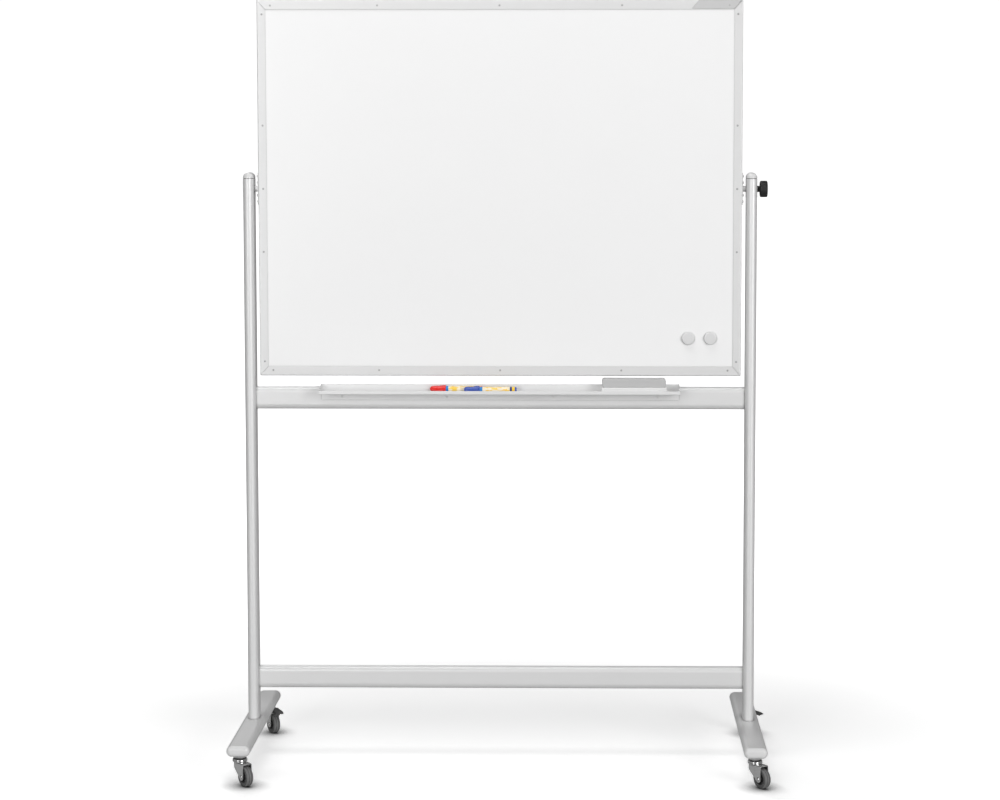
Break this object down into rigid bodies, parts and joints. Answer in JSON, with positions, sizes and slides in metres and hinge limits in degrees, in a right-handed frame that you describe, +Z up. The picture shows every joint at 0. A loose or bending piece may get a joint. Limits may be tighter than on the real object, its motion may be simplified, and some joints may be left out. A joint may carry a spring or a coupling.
{
  "type": "rolling whiteboard",
  "caption": "Rolling whiteboard: a framed writing panel that turns over between tall posts, with a clamp knob, pen tray, crossbars, long feet and swivel casters.",
  "frame": {"origin": "on the floor, midway between the posts", "axes": "+X to the right along the rails, +Y from the pen tray side to the back, +Z up"},
  "size_m": [1.3569, 0.6077, 1.9345],
  "materials": {
    "silver_paint": "satin silver powder coat",
    "cap_plastic": "satin moulded plastic, silver grey",
    "frame_aluminium": "satin anodised",
    "writing_enamel": "smooth white enamel on steel",
    "honeycomb": "honeycomb board",
    "plate_grey": "matt grey anodised, blank",
    "zinc_steel": "bright zinc plate",
    "insert_aluminium": "as cut",
    "bearing_plastic": "dark nylon",
    "knob_plastic": "black moulded plastic",
    "felt": "pressed white felt",
    "grip_plastic": "grey foam-like plastic",
    "red_ink_plastic": "gloss",
    "blue_ink_plastic": "gloss",
    "magnet_plastic": "satin light grey",
    "caster_chrome": "bright zinc-chrome plate on pressed steel",
    "axle_steel": "bright",
    "hub_plastic": "dark grey moulded",
    "tyre_rubber": "grey rubber",
    "pedal_plastic": "black moulded"
  },
  "bodies": {
    "stand": {"left_post": "silver_paint", "right_post": "silver_paint", "left_post_cap": "cap_plastic", "right_post_cap": "cap_plastic", "middle_rail": "silver_paint", "lower_rail": "silver_paint", "left_foot": "silver_paint", "right_foot": "silver_paint", "foot_end_caps": "cap_plastic", "foot_thread_blocks": "zinc_steel", "tube_inserts": "insert_aluminium", "frame_bolts": "zinc_steel", "bolt_hole_plugs": "cap_plastic", "left_pivot_bush": "bearing_plastic", "right_pivot_bush": "bearing_plastic", "pen_tray": "frame_aluminium", "tray_end_caps": "cap_plastic", "tray_screws": "zinc_steel", "caster_stems": "zinc_steel", "swivel_bearing_rings": "bearing_plastic"},
    "board": {"board_core": "honeycomb", "front_writing_sheet": "writing_enamel", "back_writing_sheet": "writing_enamel", "frame_top": "frame_aluminium", "frame_bottom": "frame_aluminium", "frame_left": "frame_aluminium", "frame_right": "frame_aluminium", "frame_corner_brackets": "zinc_steel", "frame_screws": "zinc_steel", "name_plate": "plate_grey", "left_pivot_bracket": "zinc_steel", "right_pivot_bracket": "zinc_steel", "pivot_plate_screws": "zinc_steel"},
    "clamp_washer": {"clamp_washer": "zinc_steel"},
    "clamp_knob": {"clamp_knob": "knob_plastic", "clamp_stud": "zinc_steel"},
    "eraser": {"eraser_grip": "grip_plastic", "eraser_felt": "felt"},
    "red_marker": {"red_marker": "red_ink_plastic"},
    "blue_marker": {"blue_marker": "blue_ink_plastic"},
    "left_magnet": {"left_magnet": "magnet_plastic"},
    "right_magnet": {"right_magnet": "magnet_plastic"},
    "front_left_swivel": {"front_left_fork": "caster_chrome", "front_left_axle": "axle_steel"},
    "front_left_wheel": {"front_left_hub": "hub_plastic", "front_left_tyre": "tyre_rubber"},
    "front_right_swivel": {"front_right_fork": "caster_chrome", "front_right_axle": "axle_steel"},
    "front_right_wheel": {"front_right_hub": "hub_plastic", "front_right_tyre": "tyre_rubber"},
    "rear_left_swivel": {"rear_left_fork": "caster_chrome", "rear_left_axle": "axle_steel"},
    "rear_left_wheel": {"rear_left_hub": "hub_plastic", "rear_left_tyre": "tyre_rubber"},
    "rear_left_pedal": {"rear_left_brake_pedal": "pedal_plastic"},
    "rear_right_swivel": {"rear_right_fork": "caster_chrome", "rear_right_axle": "axle_steel"},
    "rear_right_wheel": {"rear_right_hub": "hub_plastic", "rear_right_tyre": "tyre_rubber"},
    "rear_right_pedal": {"rear_right_brake_pedal": "pedal_plastic"}
  },
  "joints": [
    {"name": "board_turn", "type": "hinge", "parent": "stand", "child": "board", "pos_m": [0, 0, 1.46], "axis": [1, 0, 0], "continuous": true},
    {"name": "clamp_slide", "type": "slide", "parent": "board", "child": "clamp_washer", "axis": [1, 0, 0], "range_m": [0, 0.0025]},
    {"name": "clamp_turn", "type": "hinge", "parent": "clamp_washer", "child": "clamp_knob", "pos_m": [0.66, 0, 1.46], "axis": [1, 0, 0], "range_deg": [0, 720]},
    {"name": "eraser_lift", "type": "slide", "parent": "stand", "child": "eraser", "axis": [0, 0, 1], "range_m": [0, 0.1]},
    {"name": "red_marker_lift", "type": "slide", "parent": "stand", "child": "red_marker", "axis": [0, 0, 1], "range_m": [0, 0.1]},
    {"name": "blue_marker_lift", "type": "slide", "parent": "stand", "child": "blue_marker", "axis": [0, 0, 1], "range_m": [0, 0.1]},
    {"name": "left_magnet_pull", "type": "slide", "parent": "board", "child": "left_magnet", "axis": [0, -1, 0], "range_m": [0, 0.05]},
    {"name": "right_magnet_pull", "type": "slide", "parent": "board", "child": "right_magnet", "axis": [0, -1, 0], "range_m": [0, 0.05]},
    {"name": "front_left_swivel_turn", "type": "hinge", "parent": "stand", "child": "front_left_swivel", "pos_m": [-0.634, -0.262, 0.06], "axis": [0, 0, 1], "continuous": true},
    {"name": "front_left_wheel_spin", "type": "hinge", "parent": "front_left_swivel", "child": "front_left_wheel", "pos_m": [-0.61738, -0.28328, 0.025], "axis": [0.788, 0.6157, 0], "continuous": true},
    {"name": "front_right_swivel_turn", "type": "hinge", "parent": "stand", "child": "front_right_swivel", "pos_m": [0.634, -0.262, 0.06], "axis": [0, 0, 1], "continuous": true},
    {"name": "front_right_wheel_spin", "type": "hinge", "parent": "front_right_swivel", "child": "front_right_wheel", "pos_m": [0.64987, -0.28384, 0.025], "axis": [0.809, 0.5878, 0], "continuous": true},
    {"name": "rear_left_swivel_turn", "type": "hinge", "parent": "stand", "child": "rear_left_swivel", "pos_m": [-0.634, 0.262, 0.06], "axis": [0, 0, 1], "continuous": true},
    {"name": "rear_left_wheel_spin", "type": "hinge", "parent": "rear_left_swivel", "child": "rear_left_wheel", "pos_m": [-0.61851, 0.23988, 0.025], "axis": [0.8192, 0.5736, 0], "continuous": true},
    {"name": "rear_left_pedal_press", "type": "hinge", "parent": "rear_left_swivel", "child": "rear_left_pedal", "pos_m": [-0.61651, 0.23702, 0.051], "axis": [0.8192, 0.5736, 0], "range_deg": [0, 12]},
    {"name": "rear_right_swivel_turn", "type": "hinge", "parent": "stand", "child": "rear_right_swivel", "pos_m": [0.634, 0.262, 0.06], "axis": [0, 0, 1], "continuous": true},
    {"name": "rear_right_wheel_spin", "type": "hinge", "parent": "rear_right_swivel", "child": "rear_right_wheel", "pos_m": [0.65556, 0.24575, 0.025], "axis": [0.6018, 0.7986, 0], "continuous": true},
    {"name": "rear_right_pedal_press", "type": "hinge", "parent": "rear_right_swivel", "child": "rear_right_pedal", "pos_m": [0.65836, 0.24365, 0.051], "axis": [0.6018, 0.7986, 0], "range_deg": [0, 12]}
  ],
  "couplings": [
    {"joint": "clamp_slide", "follows": "clamp_turn", "m_per_rad": 0.00019894}
  ]
}
